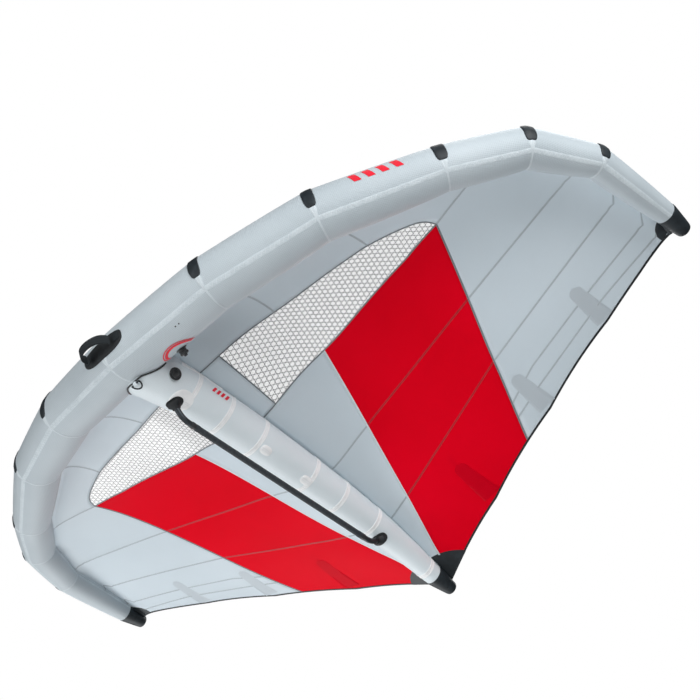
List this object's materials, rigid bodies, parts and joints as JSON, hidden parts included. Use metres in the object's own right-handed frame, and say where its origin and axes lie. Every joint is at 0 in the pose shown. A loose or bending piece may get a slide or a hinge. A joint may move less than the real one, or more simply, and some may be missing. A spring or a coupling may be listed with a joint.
{
  "type": "inflatable hand wing",
  "caption": "Inflatable hand-held wing for foiling: air-filled leading edge and strut, cloth canopy with clear windows, boom, front handle and leash ring.",
  "frame": {"origin": "middle of the boom's grip, on the wing's plane of symmetry", "axes": "+X across the span to the wing's right, +Y from the leading edge to the trailing edge, +Z from the boom up to the canopy"},
  "size_m": [3.4458, 1.9619, 0.6192],
  "materials": {
    "tube_cloth": "light grey laminated polyester with a fine weave, slight sheen",
    "canopy_cloth": "light grey ripstop cloth",
    "red_cloth": "red ripstop cloth, slightly translucent",
    "window_mesh": "clear film over a fine dark diagonal scrim",
    "bladder_film": "thin translucent polyurethane film",
    "black_patch": "black coated patch cloth, matte",
    "webbing": "black woven webbing",
    "grip_foam": "black moulded foam, matte",
    "boom_alloy": "black anodised tube, satin",
    "valve_plastic": "black moulded plastic",
    "batten_rod": "pale glass-fibre rod"
  },
  "bodies": {
    "wing": {"le_panel_right_1": "tube_cloth", "le_panel_right_2": "tube_cloth", "le_panel_right_3": "tube_cloth", "le_panel_right_4": "tube_cloth", "le_panel_right_5": "tube_cloth", "le_panel_right_6": "tube_cloth", "tip_cap_right": "black_patch", "wear_pad_right_1": "black_patch", "wear_pad_right_2": "black_patch", "wear_pad_right_3": "black_patch", "wear_pad_right_4": "black_patch", "wear_pad_right_5": "black_patch", "front_strip_right": "canopy_cloth", "window_right": "window_mesh", "centre_panel_right": "canopy_cloth", "red_panel_right": "red_cloth", "outer_panel_right": "canopy_cloth", "trailing_hem_right": "black_patch", "batten_right_1": "batten_rod", "batten_right_2": "batten_rod", "batten_right_3": "batten_rod", "le_panel_left_1": "tube_cloth", "le_panel_left_2": "tube_cloth", "le_panel_left_3": "tube_cloth", "le_panel_left_4": "tube_cloth", "le_panel_left_5": "tube_cloth", "le_panel_left_6": "tube_cloth", "tip_cap_left": "black_patch", "wear_pad_left_1": "black_patch", "wear_pad_left_2": "black_patch", "wear_pad_left_3": "black_patch", "wear_pad_left_4": "black_patch", "wear_pad_left_5": "black_patch", "front_strip_left": "canopy_cloth", "window_left": "window_mesh", "centre_panel_left": "canopy_cloth", "red_panel_left": "red_cloth", "outer_panel_left": "canopy_cloth", "trailing_hem_left": "black_patch", "batten_left_1": "batten_rod", "batten_left_2": "batten_rod", "batten_left_3": "batten_rod", "le_bladder": "bladder_film", "strut_sleeve": "tube_cloth", "strut_bladder": "bladder_film", "strut_end_cap": "black_patch", "spine_strip": "canopy_cloth", "boom_boot_front": "grip_foam", "boom_boot_rear": "grip_foam", "boom_tube": "boom_alloy", "boom_grip": "grip_foam", "front_handle_pad": "black_patch", "leash_tab": "webbing", "inflation_valve_body": "valve_plastic", "strut_valve_body": "valve_plastic"},
    "inflation_valve_cap": {"inflation_valve_cap": "valve_plastic"},
    "strut_valve_cap": {"strut_valve_cap": "valve_plastic"},
    "leash_loop": {"leash_loop": "webbing"},
    "front_handle_loop": {"front_handle_loop": "webbing"}
  },
  "joints": [
    {"name": "front_handle_flop", "type": "hinge", "parent": "wing", "child": "front_handle_loop", "pos_m": [0, -0.9037, 0.0156], "axis": [1, 0, 0], "range_deg": [-35, 35]},
    {"name": "leash_loop_swing", "type": "hinge", "parent": "wing", "child": "leash_loop", "pos_m": [0.0079, -0.726, -0.0269], "axis": [0.9976, 0, 0.0698], "range_deg": [-80, 8]},
    {"name": "inflation_valve_cap_hinge", "type": "hinge", "parent": "wing", "child": "inflation_valve_cap", "pos_m": [0.2194, -0.6665, 0.048], "axis": [0.1852, -0.4851, -0.8546], "range_deg": [0, 120]},
    {"name": "strut_valve_cap_hinge", "type": "hinge", "parent": "wing", "child": "strut_valve_cap", "pos_m": [0.1043, -0.622, 0.0678], "axis": [0, -1, 0], "range_deg": [0, 120]}
  ]
}
